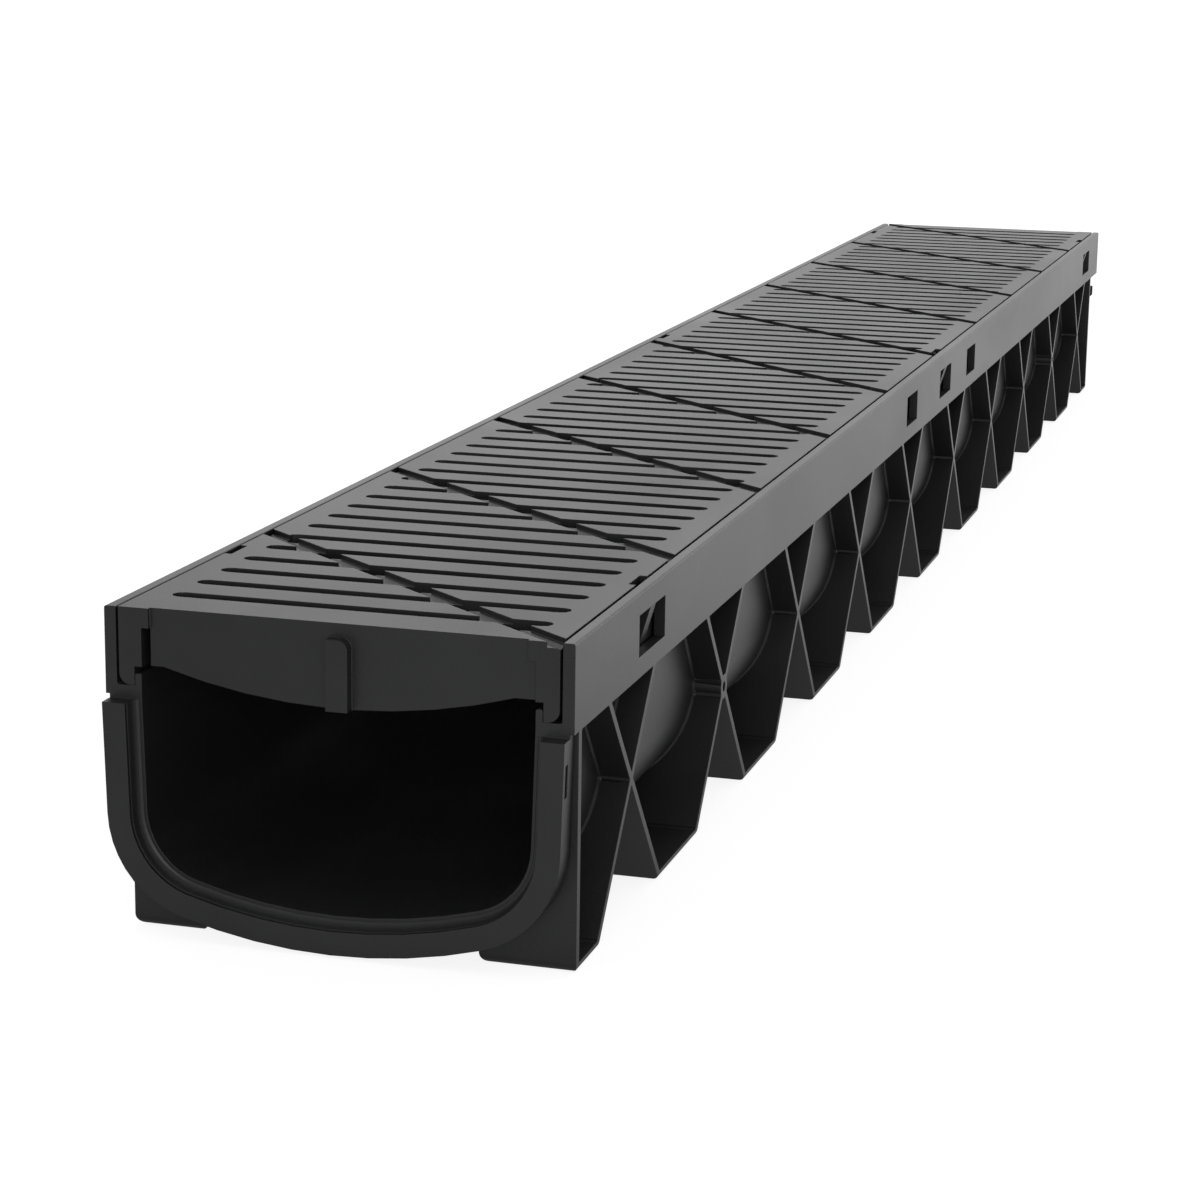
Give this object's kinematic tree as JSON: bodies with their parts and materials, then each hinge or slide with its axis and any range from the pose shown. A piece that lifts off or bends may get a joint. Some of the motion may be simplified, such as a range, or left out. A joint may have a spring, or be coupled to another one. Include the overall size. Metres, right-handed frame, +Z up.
{
  "type": "channel drain",
  "caption": "Black plastic drainage channel one metre long, with a slotted grate, lattice side ribs, and a collar and spigot at its ends.",
  "frame": {"origin": "centre of the whole part's footprint, on the plane its feet stand on", "axes": "+X across the channel, +Y along the run from the collar to the spigot, +Z up"},
  "size_m": [0.12, 1.0046, 0.0825],
  "materials": {
    "body_plastic": "satin moulded polypropylene",
    "grate_plastic": "satin moulded polypropylene with fine texture"
  },
  "bodies": {
    "root": {"channel_body": "body_plastic", "grate": "grate_plastic"}
  },
  "joints": []
}
